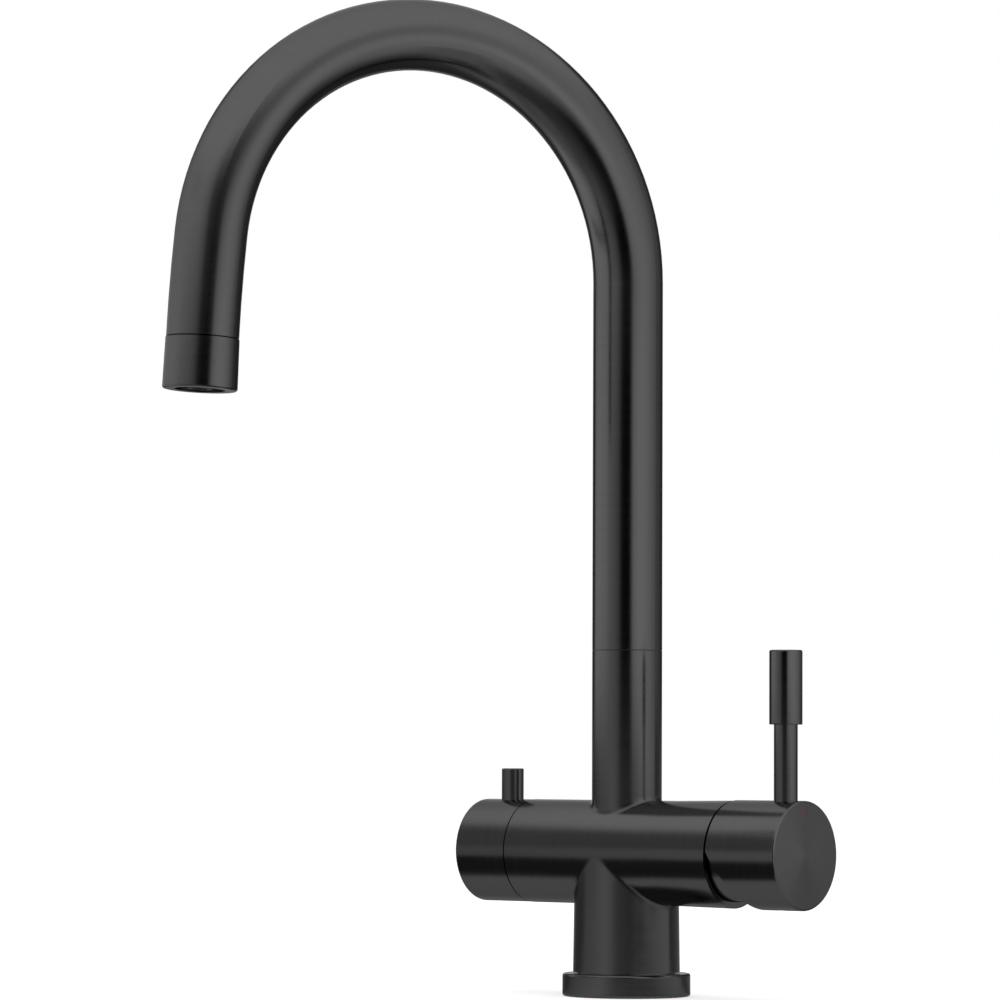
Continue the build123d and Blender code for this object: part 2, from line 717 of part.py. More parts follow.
with BuildPart() as spindle_clip:
    with BuildSketch(left_slice(clip_foot)) as clip_section:
        Circle(clip_inner + clip_width)
        Circle(clip_inner, mode=Mode.SUBTRACT)
        with Locations((0, -clip_inner - clip_width / 2)):
            Rectangle(clip_opening, 2 * clip_width, mode=Mode.SUBTRACT)
    extrude(clip_section.sketch, amount=clip_thickness)
finish(spindle_clip.part, "spindle_clip")

# Filter cap with its pin
with BuildPart() as filter_cap:
    round_bar(left_slice(filter_cap_foot), filter_cap_end - filter_cap_foot, filter_cap_radius)
    fillet(edges().group_by(Axis.X)[0], filter_cap_rounding)
    round_bar(
        left_slice(filter_cap_foot), filter_web_foot - filter_cap_foot,
        filter_cap_radius - filter_cap_wall, mode=Mode.SUBTRACT,
    )
    round_bar(
        left_slice(filter_web_foot), clip_foot + clip_thickness + turning_gap - filter_web_foot,
        headwork_neck_radius + cap_neck_clearance, mode=Mode.SUBTRACT,
    )
    round_bar(left_slice(filter_web_foot), spindle_end - filter_web_foot, spindle_radius, mode=Mode.SUBTRACT)
    round_bar(
        upright(-pin_lever_position, axis_height + pin_lever_sink), filter_cap_radius,
        pin_lever_radius, mode=Mode.SUBTRACT,
    )
    round_bar(filter_screw_plane, filter_cap_radius, filter_screw_radius, mode=Mode.SUBTRACT)
finish(filter_cap.part, "filter_cap")

with BuildPart() as filter_grub_screw:
    round_bar(filter_screw_plane, filter_screw_length, filter_screw_radius)
    key_socket(filter_screw_plane.offset(filter_screw_length), filter_screw_radius, filter_screw_length / 2)
finish(filter_grub_screw.part, "filter_grub_screw")

with BuildPart() as filter_lever_pin:
    pin_foot = axis_height + pin_lever_sink
    round_bar(upright(-pin_lever_position, pin_foot), pin_lever_top - pin_foot, pin_lever_radius)
    fillet(edges().group_by(Axis.Z)[-1], pin_lever_rounding)
finish(filter_lever_pin.part, "filter_lever_pin")

# Swivel of the spout
with BuildPart() as slip_ring:
    round_bar(slip_ring_seat, slip_ring_height, socket_radius + slip_ring_width, socket_radius)
finish(slip_ring.part, "slip_ring")

with BuildPart() as swivel_washer:
    round_bar(level(riser_top + swivel_film), washer_thickness, tube_radius - washer_step, tail_radius)
finish(swivel_washer.part, "swivel_washer")

with BuildPart() as spout_stop_screw:
    screw_foot = socket_radius + turning_gap
    screw_head = riser_radius - stop_screw_sink
    tip_end = tail_radius - stop_tip_reach
    round_bar(stop_plane.offset(screw_foot), screw_head - screw_foot, stop_screw_radius)
    round_bar(stop_plane.offset(tip_end), screw_head - tip_end, stop_tip_radius)
    key_socket(stop_plane.offset(screw_head), stop_screw_radius, stop_key_depth)
finish(spout_stop_screw.part, "spout_stop_screw")

tail_ring_inner = tail_radius - tail_ring_depth

with BuildPart() as spout_tail:
    round_bar(level(tail_foot), spout_foot - tail_foot, tail_radius)
    round_bar(level(spout_foot), tail_plug_height, tube_bore)
    round_bar(level(tail_foot), spout_foot + tail_plug_height - tail_foot, tail_bore, mode=Mode.SUBTRACT)
    for place in tail_ring_places:
        seal_groove(level(place), tail_radius, tail_ring_inner, tail_ring_width)
    # groove that limits the swing, behind the tail when the spout looks straight ahead
    groove_half = stop_tip_radius + stop_groove_clearance
    groove_floor = tail_radius - stop_groove_depth
    groove_angle = swing_half_angle + degrees(groove_half / groove_floor)
    with BuildSketch(level(stop_height - groove_half)) as groove:
        with BuildLine(spout_level):
            outer_arc = CenterArc((0, 0), socket_radius, 90 - groove_angle, 2 * groove_angle)
            inner_arc = CenterArc((0, 0), groove_floor, 90 - groove_angle, 2 * groove_angle)
            Line(outer_arc @ 0, inner_arc @ 0)
            Line(outer_arc @ 1, inner_arc @ 1)
        make_face()
    extrude(groove.sketch, amount=2 * groove_half, mode=Mode.SUBTRACT)
finish(spout_tail.part, "spout_tail")

with BuildPart() as tail_rings:
    for place in tail_ring_places:
        seal_ring(level(place), tail_radius, tail_ring_inner, tail_ring_width)
finish(tail_rings.part, "tail_rings")

# Spout with its inner tube and outlet
with BuildPart() as spout_tube:
    with BuildSketch(level(spout_foot)) as tube_section:
        Circle(tube_radius)
        Circle(tube_bore, mode=Mode.SUBTRACT)
    sweep(tube_section.sketch, path=spout_line.line)
finish(spout_tube.part, "spout_tube")

with BuildLine(spout_plane) as filter_line:
    Line((0, filter_tail_foot + filter_tail_seal), (0, spout_foot))
    add(spout_line.line)
    Line(easing_line @ 1, (easing_line @ 1) + (easing_line % 1) * filter_tube_end)

with BuildPart() as filter_tube:
    with BuildSketch(level(filter_tail_foot + filter_tail_seal)) as filter_section:
        Circle(filter_tube_radius)
        Circle(filter_tube_radius - filter_tube_wall, mode=Mode.SUBTRACT)
    sweep(filter_section.sketch, path=filter_line.line)
finish(filter_tube.part, "filter_tube")

with BuildPart() as filter_tube_seal:
    round_bar(level(filter_seal_foot), filter_seal_height, filter_bore_radius, filter_tube_radius)
finish(filter_tube_seal.part, "filter_tube_seal")

with BuildPart() as outlet_sleeve:
    with BuildSketch(outlet_plane.offset(seam_gap)) as outlet_section:
        Circle(outlet_radius)
    extrude(outlet_section.sketch, amount=outlet_length - seam_gap, taper=-outlet_draft)
    fillet(edges().group_by(Axis(outlet_plane.origin, outlet_plane.z_dir))[-1], outlet_rounding)
    # narrow groove at the seam with the tube
    round_bar(outlet_plane, seam_gap, outlet_radius - seam_depth)
    spigot_plane = outlet_plane.offset(-outlet_spigot)
    round_bar(spigot_plane, outlet_spigot, tube_bore - spigot_clearance)
    round_bar(spigot_plane, outlet_spigot + outlet_length, outlet_neck_bore, mode=Mode.SUBTRACT)
    round_bar(outlet_plane.offset(seal_place), outlet_length - seal_place, outlet_bore, mode=Mode.SUBTRACT)
finish(outlet_sleeve.part, "outlet_sleeve")

with BuildPart() as outlet_seal:
    round_bar(
        outlet_plane.offset(seal_place), outlet_seal_thickness, outlet_bore - seat_clearance,
        outlet_neck_bore - seat_clearance,
    )
finish(outlet_seal.part, "outlet_seal")

with BuildPart() as aerator_sieve:
    round_bar(
        outlet_plane.offset(sieve_place), sieve_thickness, outlet_bore - seat_clearance,
        nozzle_radius + seat_clearance,
    )
finish(aerator_sieve.part, "aerator_sieve")

with BuildPart() as aerator_insert:
    round_bar(
        outlet_plane.offset(aerator_place), aerator_height, outlet_bore - seat_clearance,
        nozzle_radius + seat_clearance,
    )
    with BuildSketch(outlet_plane.offset(aerator_place)) as jets:
        with PolarLocations(aerator_ring_radius, aerator_holes):
            Circle(aerator_hole_radius)
    extrude(jets.sketch, amount=aerator_height, mode=Mode.SUBTRACT)
finish(aerator_insert.part, "aerator_insert")

with BuildPart() as filter_nozzle:
    round_bar(outlet_plane.offset(nozzle_foot), nozzle_length, nozzle_radius, nozzle_bore)
    round_bar(outlet_plane.offset(nozzle_foot), nozzle_socket, filter_tube_radius, mode=Mode.SUBTRACT)
finish(filter_nozzle.part, "filter_nozzle")
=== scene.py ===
import math

import bmesh
import bpy
from mathutils import Matrix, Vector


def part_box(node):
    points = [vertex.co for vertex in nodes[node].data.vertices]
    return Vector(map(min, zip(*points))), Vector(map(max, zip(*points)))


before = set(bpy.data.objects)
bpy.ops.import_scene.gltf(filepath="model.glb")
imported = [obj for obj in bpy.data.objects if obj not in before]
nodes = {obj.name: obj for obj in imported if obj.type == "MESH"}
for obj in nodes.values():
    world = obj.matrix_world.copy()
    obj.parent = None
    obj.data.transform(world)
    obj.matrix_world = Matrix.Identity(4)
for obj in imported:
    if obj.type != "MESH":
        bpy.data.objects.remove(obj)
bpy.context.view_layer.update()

mm = 0.001


class Shade:
    # wraps one socket of a node tree, so that maths on it reads as a plain expression
    def __init__(self, tree, socket=None):
        self.tree = tree
        self.socket = socket

    def node(self, kind, settings=None, values=None, output=0):
        made = self.tree.nodes.new("ShaderNode" + kind)
        for key, setting in (settings or {}).items():
            if key == "stops":
                layStops(made.color_ramp, setting)
            else:
                setattr(made, key, setting)
        for key, value in (values or {}).items():
            if isinstance(value, Shade):
                self.tree.links.new(value.socket, made.inputs[key])
            else:
                made.inputs[key].default_value = value
        return Shade(self.tree, made.outputs[output] if made.outputs else None)

    def maths(self, operation, *values):
        return self.node("Math", {"operation": operation}, dict(enumerate(values)))

    def __add__(self, other):
        return self.maths("ADD", self, other)

    def __radd__(self, other):
        return self.maths("ADD", other, self)

    def __sub__(self, other):
        return self.maths("SUBTRACT", self, other)

    def __rsub__(self, other):
        return self.maths("SUBTRACT", other, self)

    def __mul__(self, other):
        return self.maths("MULTIPLY", self, other)

    def __rmul__(self, other):
        return self.maths("MULTIPLY", other, self)

    def __truediv__(self, other):
        return self.maths("DIVIDE", self, other)

    def __gt__(self, other):
        return self.maths("GREATER_THAN", self, other)

    def __lt__(self, other):
        return self.maths("LESS_THAN", self, other)

    def size(self):
        return self.maths("ABSOLUTE", self)

    def root(self):
        return self.maths("SQRT", self)

    def angleOver(self, across):
        return self.maths("ARCTAN2", self, across)

    def split(self):
        made = self.tree.nodes.new("ShaderNodeSeparateXYZ")
        self.tree.links.new(self.socket, made.inputs[0])
        return [Shade(self.tree, socket) for socket in made.outputs]

    def join(self, x, y, z):
        return self.node("CombineXYZ", None, {0: x, 1: y, 2: z})

    def ease(self, start, end, low=0.0, high=1.0):
        # runs softly from low to high as this value goes from start to end
        settings = {"interpolation_type": "SMOOTHSTEP"}
        return self.node("MapRange", settings, {"Value": self, 1: start, 2: end, 3: low, 4: high})

    def blend(self, first, second):
        # number between two numbers, with this value as the share of the second
        return self.node("Mix", {"data_type": "FLOAT"}, {0: self, 2: first, 3: second})

    def tint(self, first, second):
        # colour between two colours, with this value as the share of the second
        return self.node("Mix", {"data_type": "RGBA"}, {0: self, 6: first, 7: second}, 2)

    def steer(self, first, second):
        # direction between two directions, with this value as the share of the second
        return self.node("Mix", {"data_type": "VECTOR"}, {0: self, 4: first, 5: second}, 1)

    def noise(self, vector, detail=2.0, roughness=0.5, size=1.0):
        return self.node("TexNoise", None, {"Vector": vector, "Scale": size, "Detail": detail, "Roughness": roughness})


def layStops(ramp, stops):
    while len(ramp.elements) > 1:
        ramp.elements.remove(ramp.elements[-1])
    for count, (place, level) in enumerate(stops):
        element = ramp.elements[0] if count == 0 else ramp.elements.new(place)
        element.position = place
        element.color = (level, level, level, 1.0)


def newTree(name):
    material = bpy.data.materials.new(name)
    material.use_nodes = True
    tree = material.node_tree
    tree.nodes.clear()
    return material, Shade(tree)


def finishTree(shade, surface):
    shade.node("OutputMaterial", None, {"Surface": surface})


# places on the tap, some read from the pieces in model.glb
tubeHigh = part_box("spout_tube")[1]
filterLow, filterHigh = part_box("filter_cap")
ringLow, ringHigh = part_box("cover_ring")

barrelAxis = (ringLow.z + ringHigh.z) / 2
barrelRadius = (filterHigh.y - filterLow.y) / 2 + 0.1 * mm  # the barrel is a little wider than the cap
riserRadius = 13.8 * mm
bendRadius = 92.0 * mm
spoutTurn = math.radians(-21.65)  # how far the spout is turned from straight ahead
bendCentre = tubeHigh.z - bendRadius - riserRadius


# camera, at the photograph's angle
cameraPlace = {"lens": 177.2, "film": 36.0, "farthest": 50.0, "at": (1.185897, -1.540419, 0.098684)}
cameraTurn = Matrix((
    (0.77640603, 0.02833494, 0.62959575),
    (0.63022205, -0.04080309, -0.77534204),
    (0.00372019, 0.99876536, -0.04953707),
))


def makeCamera():
    camera = bpy.data.cameras.new("camera")
    camera.lens = cameraPlace["lens"]
    camera.sensor_width = cameraPlace["film"]
    camera.clip_end = cameraPlace["farthest"]
    holder = bpy.data.objects.new("camera", camera)
    holder.matrix_world = Matrix.Translation(cameraPlace["at"]) @ cameraTurn.to_4x4()
    bpy.context.scene.collection.objects.link(holder)
    bpy.context.scene.camera = holder


# studio: white background, and soft light round the tap that only its gloss shows
drum = {
    "centre": (-0.03, -0.10), "radius": 0.5, "height": 0.9, "segments": 128, "light": 1.07,
    # level of light by direction: 0 is the drum's front, negative its left and positive its right
    "front": math.radians(-52.3),
    "foot": ((-180, 0.50), (-158, 0.24), (-120, 0.14), (-108, 0.36), (-84, 0.43), (-48, 0.60), (-34, 0.52),
             (-18, 0.29), (22, 0.17), (45, 0.15), (54, 0.32), (84, 0.50), (92, 0.56), (106, 0.62), (111, 0.12),
             (124, 0.26), (144, 0.42)),
    "low": ((-180, 0.55), (-158, 0.26), (-134, 0.16), (-116, 0.22), (-104, 0.34), (-84, 0.36), (-60, 0.50),
            (-40, 0.50), (-28, 0.42), (-17, 0.22), (22, 0.18), (34, 0.24), (46, 0.38), (56, 0.66), (66, 0.82),
            (84, 0.74), (94, 0.64), (105, 0.62), (111, 0.10), (126, 0.24), (140, 0.34)),
    "main": ((-180, 0.45), (-168, 0.12), (-149, 0.08), (-142, 0.95), (-126, 1.02), (-98, 0.92), (-80, 0.86),
             (-62, 0.62), (-28, 0.34), (-18, 0.16), (-12, 0.02), (19, 0.00), (25, 0.42), (31, 0.84), (50, 1.02),
             (70, 0.95), (92, 0.72), (104, 0.46), (130, 0.27), (142, 0.10), (166, 0.10)),
    "under": ((-180, 0.16), (-148, 0.12), (-140, 0.50), (-132, 1.00), (-96, 0.92), (-72, 0.66), (-60, 0.42),
              (-40, 0.40), (-20, 0.20), (4, 0.06), (24, 0.02), (36, 0.38), (48, 0.76), (64, 0.90), (84, 0.70),
              (104, 0.28), (124, 0.09), (160, 0.12)),
    "upper": ((-180, 0.72), (-166, 0.70), (-156, 0.30), (-144, 0.25), (-132, 0.70), (-116, 0.86), (-60, 0.84),
              (-36, 0.74), (-20, 0.46), (-12, 0.20), (0, 0.08), (20, 0.12), (36, 0.42), (60, 0.76), (84, 0.78),
              (104, 0.56), (124, 0.42), (144, 0.10), (158, 0.14), (170, 0.70)),
    # heights between which one row of light gives way to the next
    "footTo": (0.04, 0.07), "lowTo": (0.085, 0.13), "underTo": (0.15, 0.21), "mainTo": (0.27, 0.43),
    "upperTo": (0.46, 0.70), "shadeTo": (0.38, 0.66),
    # how steep a ray is beyond what its height explains, and how steep a falling and a lofty ray is
    "levelFrom": 0.10, "levelSlope": 0.9, "steep": (0.05, 0.11), "fall": (0.24, 0.29), "loft": (0.50, 0.62),
    # rays that rise steeply meet less light on the left, and the bright background behind the tap
    "shade": 0.70, "shadeLeft": (-128, -110), "shadeRight": (-66, -46),
    "back": 0.74, "backFrom": (158, 168), "lofty": 0.86, "highBackFrom": (122, 142), "highBack": 0.13,
    # how much stronger the light is that reaches the metal by way of another piece of it
    "again": 2.5,
}
dome = {"ceiling": 1.05, "ambient": 0.9}
floorLook = {
    "size": 6.0, "plain": (0.62, 0.62, 0.62, 1.0), "glow": (0.55, 0.55, 0.55, 1.0),
    # pale table top, as the gloss shows it: where its front edge runs, how soft that is, and how far back it goes
    "pale": 0.54, "edgeAt": -0.051, "edgeSlope": 0.08, "edgeSoft": 0.007, "paleBack": (0.11, 0.05),
    # the dark in front of the table, which gets lighter further off
    "dark": 0.06, "far": 0.22, "darkTo": 0.2, "farFrom": 0.5,
    # what steep rays meet near the tap, by direction, and where the drum's own light takes over
    "near": ((-180, 0.23), (-156, 0.28), (-132, 0.40), (-84, 0.40), (-60, 0.29), (-36, 0.25), (-12, 0.18),
             (12, 0.16), (60, 0.20), (84, 0.18), (108, 0.14), (132, 0.14), (168, 0.20)),
    "under": (0.16, 0.44), "fallFrom": (0.2, 0.3), "fall": (0.3, 0.45), "steep": (0.58, 0.75),
    "skim": (0.08, 0.24),
}


def drumDirection(shade):
    # direction seen from the drum's middle, -180 to 180 degrees, how far from the middle a point lies, and its height
    x, y, z = shade.node("TexCoord", output="Object").split()
    x = x - drum["centre"][0]
    y = y - drum["centre"][1]
    return turnFromFront(x, y), (x * x + y * y).root(), z


def turnFromFront(x, y):
    towards = x * math.cos(drum["front"]) + y * math.sin(drum["front"])
    across = y * math.cos(drum["front"]) - x * math.sin(drum["front"])
    return across.angleOver(towards) * (180 / math.pi)


def lightRow(shade, direction, row):
    stops = [((turn + 180) / 360, level) for turn, level in row]
    return shade.node("ValToRGB", {"stops": stops}, {"Fac": (direction + 180) / 360}) * drum["light"]


def rayClimb(shade):
    # sine of the slope at which a ray meets the surface, from 0 when it's level to 1 when it's upright
    upright = shade.join(0.0, 0.0, 1.0)
    return 1 - shade.node("LayerWeight", None, {"Normal": upright}, "Facing")


def wallLight(shade, direction, z):
    # what the wall shows to level rays, and to rays that fall or rise steeply onto it
    level = z.ease(*drum["footTo"]).blend(lightRow(shade, direction, drum["foot"]),
                                          lightRow(shade, direction, drum["low"]))
    main = lightRow(shade, direction, drum["main"])
    level = z.ease(*drum["lowTo"]).blend(level, main)
    shaded = direction.ease(*drum["shadeLeft"]) * direction.ease(*reversed(drum["shadeRight"])) * drum["shade"]
    rising = direction.size().ease(*drum["backFrom"]).blend(main * (1 - shaded), drum["back"])
    climb = rayClimb(shade)
    falling = z.ease(*reversed(drum["underTo"])) * climb.ease(*drum["fall"])
    steep = falling.blend(rising, lightRow(shade, direction, drum["under"]))
    above = z - drum["levelFrom"]
    expected = above.maths("MAXIMUM", above, 0.0) * drum["levelSlope"]
    steepness = (climb - expected).ease(*drum["steep"])
    level = steepness.blend(level, steep)
    lofty = climb.ease(*drum["loft"])
    upper = lofty.blend(lightRow(shade, direction, drum["upper"]), drum["lofty"])
    upper = upper * (1 - shaded * steepness * z.ease(*reversed(drum["shadeTo"])))
    level = z.ease(*drum["mainTo"]).blend(level, upper)
    # high up at the back the ceiling's light starts further up
    top = z - (1 - lofty) * direction.size().ease(*drum["highBackFrom"]) * drum["highBack"]
    return top.ease(*drum["upperTo"]).blend(level, dome["ceiling"])


def makeWorld():
    world = bpy.data.worlds.new("studio")
    world.use_nodes = True
    world.node_tree.nodes.clear()
    bpy.context.scene.world = world
    shade = Shade(world.node_tree)
    mirrored = shade.node("LightPath", output="Is Glossy Ray")
    mirrored = mirrored.maths("MAXIMUM", mirrored, shade.node("LightPath", output="Is Transmission Ray"))
    level = mirrored.blend(dome["ambient"], dome["ceiling"])
    level = shade.node("LightPath", output="Is Camera Ray").blend(level, 1.0)
    colour = shade.node("CombineColor", None, {0: level, 1: level, 2: level})
    background = shade.node("Background", None, {"Color": colour})
    shade.node("OutputWorld", None, {"Surface": background})


def makeDrum():
    bm = bmesh.new()
    bmesh.ops.create_cone(bm, cap_ends=False, segments=drum["segments"], radius1=drum["radius"],
                          radius2=drum["radius"], depth=drum["height"])
    bmesh.ops.translate(bm, vec=(*drum["centre"], drum["height"] / 2), verts=bm.verts)
    wall = meshObject("drum", bm)
    material, shade = newTree("drumLight")
    direction, _, z = drumDirection(shade)
    level = wallLight(shade, direction, z)
    again = shade.node("LightPath", output="Glossy Depth") > 1.5
    level = level * again.blend(1.0, drum["again"])
    grey = shade.node("CombineColor", None, {0: level, 1: level, 2: level})
    finishTree(shade, shade.node("Emission", None, {"Color": grey}))
    wall.data.materials.append(material)
    wall.visible_camera = False
    wall.visible_diffuse = False
    wall.visible_shadow = False


def meshObject(name, bm):
    data = bpy.data.meshes.new(name)
    bm.to_mesh(data)
    bm.free()
    made = bpy.data.objects.new(name, data)
    bpy.context.scene.collection.objects.link(made)
    return made


def makeFloor():
    bm = bmesh.new()
    bmesh.ops.create_grid(bm, x_segments=1, y_segments=1, size=floorLook["size"] / 2)
    floor = meshObject("floor", bm)
    material, shade = newTree("paleFloor")
    x, y, _ = shade.node("TexCoord", output="Object").split()
    direction, distance, _ = drumDirection(shade)
    edge = y + x * floorLook["edgeSlope"] - floorLook["edgeAt"]
    climb = rayClimb(shade)
    level = distance.ease(floorLook["darkTo"], floorLook["farFrom"], floorLook["dark"], floorLook["far"])
    under = distance.ease(*floorLook["under"]).blend(
        lightRow(shade, direction, floorLook["near"]), lightRow(shade, direction, drum["under"]))
    falling = distance.ease(*floorLook["fallFrom"]) * climb.ease(*floorLook["fall"])
    level = falling.maths("MAXIMUM", falling, climb.ease(*floorLook["steep"])).blend(level, under)
    table = edge.ease(-floorLook["edgeSoft"], floorLook["edgeSoft"]) * y.ease(*floorLook["paleBack"])
    level = table.blend(level, floorLook["pale"])
    skimming = climb.ease(*reversed(floorLook["skim"]))
    level = skimming.blend(level, lightRow(shade, turnFromFront(x, y), drum["foot"]))
    grey = shade.node("CombineColor", None, {0: level, 1: level, 2: level})
    reflected = shade.node("Emission", None, {"Color": grey})
    seen = shade.node("LightPath", output="Is Camera Ray")
    plainFloor = shade.node("BsdfDiffuse", None, {"Color": floorLook["plain"]})
    glow = shade.node("Emission", None, {"Color": floorLook["glow"], "Strength": seen})
    plain = shade.node("AddShader", None, {0: plainFloor, 1: glow})
    mirrored = shade.node("LightPath", output="Is Glossy Ray")
    finishTree(shade, shade.node("MixShader", None, {0: mirrored, 1: plain, 2: reflected}))
    floor.data.materials.append(material)


softbox = {"side": 1.2, "power": 6.0, "at": (-0.3, -0.2, 1.6)}


def makeLamp():
    lamp = bpy.data.lights.new("topSoftbox", "AREA")
    lamp.shape = "SQUARE"
    lamp.size = softbox["side"]
    lamp.energy = softbox["power"]
    holder = bpy.data.objects.new("topSoftbox", lamp)
    holder.location = softbox["at"]
    holder.visible_camera = False
    holder.visible_glossy = False
    bpy.context.scene.collection.objects.link(holder)


# turned and brushed metals: colour between two shades, roughness, and how much it brightens at grazing angles
darkMetal = {"shades": ((0.088, 0.088, 0.089, 1.0), (0.122, 0.122, 0.122, 1.0)), "roughness": 0.18,
             "roughnessSpread": 0.10, "edgeTint": 0.55}
slimMetal = dict(darkMetal, depth=0.004 * mm)  # rods and pins are turned finer
machinedBrass = {"shades": ((0.52, 0.36, 0.15, 1.0), (0.80, 0.60, 0.31, 1.0)), "roughness": 0.24,
                 "roughnessSpread": 0.14, "edgeTint": 0.9}
stainless = {"shades": ((0.50, 0.50, 0.51, 1.0), (0.64, 0.63, 0.62, 1.0)), "roughness": 0.20,
             "roughnessSpread": 0.10, "edgeTint": 0.9}
grain = {"groove": 0.10 * mm, "grooveLength": 7.0 * mm, "depth": 0.010 * mm,
         "streakWidth": 0.9 * mm, "streakLength": 40.0 * mm, "cloud": 22.0 * mm,
         "face": 0.75}  # how squarely a face looks along the axis to count as an end face


def turnedPlaces(shade, way, centre):
    # how far along its axis and how far round it a point of a turned piece lies
    spot = shade.node("TexCoord", output="Object").split()
    facing = shade.node("TexCoord", output="Normal").split()
    axis = "xyz".index(way)
    across = [count for count in range(3) if count != axis]
    side, up = [spot[count] - centre[count] for count in across]
    radius = (side * side + up * up).root()
    onFace = facing[axis].size() > grain["face"]
    return onFace.blend(spot[axis], radius), up.angleOver(side) * radius


margins = {"barrel": 0.1 * mm, "riser": 0.5 * mm}


def bodyPlaces(shade):
    # column and riser are brushed round Z, the barrel round X
    x, y, z = shade.node("TexCoord", output="Object").split()
    up = z - barrelAxis
    onColumn = (0 - up) > x.size()
    fromBarrel = (y * y + up * up).root()
    fromColumn = (x * x + y * y).root()
    onRiser = (up > 0) * (fromBarrel > barrelRadius + margins["barrel"]) * (fromColumn < riserRadius + margins["riser"])
    upright = onColumn.maths("MAXIMUM", onColumn, onRiser)
    standing = y.angleOver(x) * fromColumn
    lying = up.angleOver(y) * fromBarrel
    return upright.blend(x, z), upright.blend(lying, standing)


def spoutPlaces(shade):
    # how far along the bent tube and how far round it
    x, y, z = shade.node("TexCoord", output="Object").split()
    out = x * math.sin(spoutTurn) - y * math.cos(spoutTurn) - bendRadius
    side = x * math.cos(spoutTurn) + y * math.sin(spoutTurn)
    up = z - bendCentre
    turn = up.angleOver(0 - out)
    onBend = up > 0
    reach = (out * out + up * up).root() - bendRadius
    past = out > 0
    along = onBend.blend(past.blend(up, math.pi * bendRadius - up), turn * bendRadius)
    offset = onBend.blend(out.size() - bendRadius, reach)
    return along, offset.angleOver(side) * riserRadius


def brushed(name, places, look, extra=None):
    material, shade = newTree(name)
    along, round = places(shade)
    spot = shade.node("TexCoord", output="Object")
    grooves = shade.noise(shade.join(along / grain["groove"], round / grain["grooveLength"], 0.0), 3.0, 0.6)
    streaks = shade.noise(shade.join(along / grain["streakWidth"], round / grain["streakLength"], 3.0))
    clouds = shade.noise(spot, size=1 / grain["cloud"])
    values = {
        "Base Color": ((grooves + streaks) * 0.5).tint(*look["shades"]),
        "Metallic": 1.0,
        "Roughness": look["roughness"] + (streaks + clouds - 1) * look["roughnessSpread"],
        "Specular Tint": (look["edgeTint"], look["edgeTint"], look["edgeTint"], 1.0),
    }
    relief = {"Height": grooves, "Strength": 1.0, "Distance": look.get("depth", grain["depth"])}
    if extra:
        extra(shade, spot, values, relief)
    values["Normal"] = shade.node("Bump", None, relief)
    finishTree(shade, shade.node("BsdfPrincipled", None, values))
    return material


def dress(name, material):
    data = nodes[name].data
    data.materials.clear()
    data.materials.append(material)


def middleOf(name):
    low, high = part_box(name)
    return (low + high) / 2


def turnedRound(way, name):
    # places round the axis that runs through the middle of a piece's box
    return lambda shade: turnedPlaces(shade, way, middleOf(name))


# the body's bores and foot are bare brass, where the dark finish doesn't reach
bareBrass = {"barrelBore": 17.8 * mm, "barrelFrom": 24.0 * mm, "riserBore": 12.7 * mm, "riserFrom": 88.0 * mm,
             "footBore": 17.0 * mm, "footTo": 14.0 * mm, "soft": 0.15 * mm}
# hand polishing has softened the edges where column, barrel and riser run into each other
polish = {"foot": 12.0 * mm, "top": 92.0 * mm, "side": 32.0 * mm, "radius": 2.5 * mm}


def bareInside(shade, spot, values, relief):
    x, y, z = spot.split()
    up = z - barrelAxis
    soft = bareBrass["soft"]
    fromBarrel = (y * y + up * up).root()
    fromColumn = (x * x + y * y).root()
    inBarrel = fromBarrel.ease(bareBrass["barrelBore"], bareBrass["barrelBore"] - soft) * (
        x.size() > bareBrass["barrelFrom"])
    inRiser = fromColumn.ease(bareBrass["riserBore"], bareBrass["riserBore"] - soft) * (z > bareBrass["riserFrom"])
    inFoot = fromColumn.ease(bareBrass["footBore"], bareBrass["footBore"] - soft) * (z < bareBrass["footTo"])
    bare = inBarrel.maths("MAXIMUM", inBarrel, inRiser)
    bare = bare.maths("MAXIMUM", bare, inFoot)
    values["Base Color"] = bare.tint(values["Base Color"], machinedBrass["shades"][0])
    crossing = (z < polish["top"]) * (z > polish["foot"]) * (x.size() < polish["side"])
    softened = shade.node("Bevel", {"samples": 6}, {"Radius": polish["radius"]})
    relief["Normal"] = crossing.steer(shade.node("NewGeometry", output="Normal"), softened)


# the narrow groove between tube and outlet sleeve lies in its own shadow; the outlet leans out by a few degrees
seam = {"out": 94.7 * mm, "up": -29.8 * mm, "lean": math.radians(3), "from": -0.05 * mm, "to": 0.40 * mm,
        "soft": 0.08 * mm, "dark": (0.012, 0.012, 0.012, 1.0)}


def seamShadow(shade, spot, values, relief):
    x, y, z = spot.split()
    out = x * math.sin(spoutTurn) - y * math.cos(spoutTurn) - bendRadius - seam["out"]
    past = out * math.sin(seam["lean"]) - (z - bendCentre - seam["up"]) * math.cos(seam["lean"])
    inSeam = past.ease(seam["from"] - seam["soft"], seam["from"]) * past.ease(seam["to"] + seam["soft"], seam["to"])
    onArm = out > -bendRadius
    values["Base Color"] = (inSeam * onArm).tint(values["Base Color"], seam["dark"])


# red and blue marks on the mixer cap's end face, and a painted sheen on it: soft light and dark wedges painted into its
# colour round the axis
marks = {"low": 71.4 * mm, "high": 75.2 * mm, "hotSide": -1.7 * mm, "coldSide": 1.7 * mm, "gap": 0.1 * mm,
         "soft": 0.12 * mm, "face": 86.0 * mm, "faceGrain": 2.4,
         # strength, lean and lift of the painted sheen on the end face, then the roughness of the marks' paint
         "sheen": 0.09, "lean": 0.08, "leanTo": math.radians(135), "lift": 0.04, "paintRoughness": 0.45,
         "hot": (0.115, 0.028, 0.038, 1.0), "cold": (0.040, 0.040, 0.068, 1.0)}


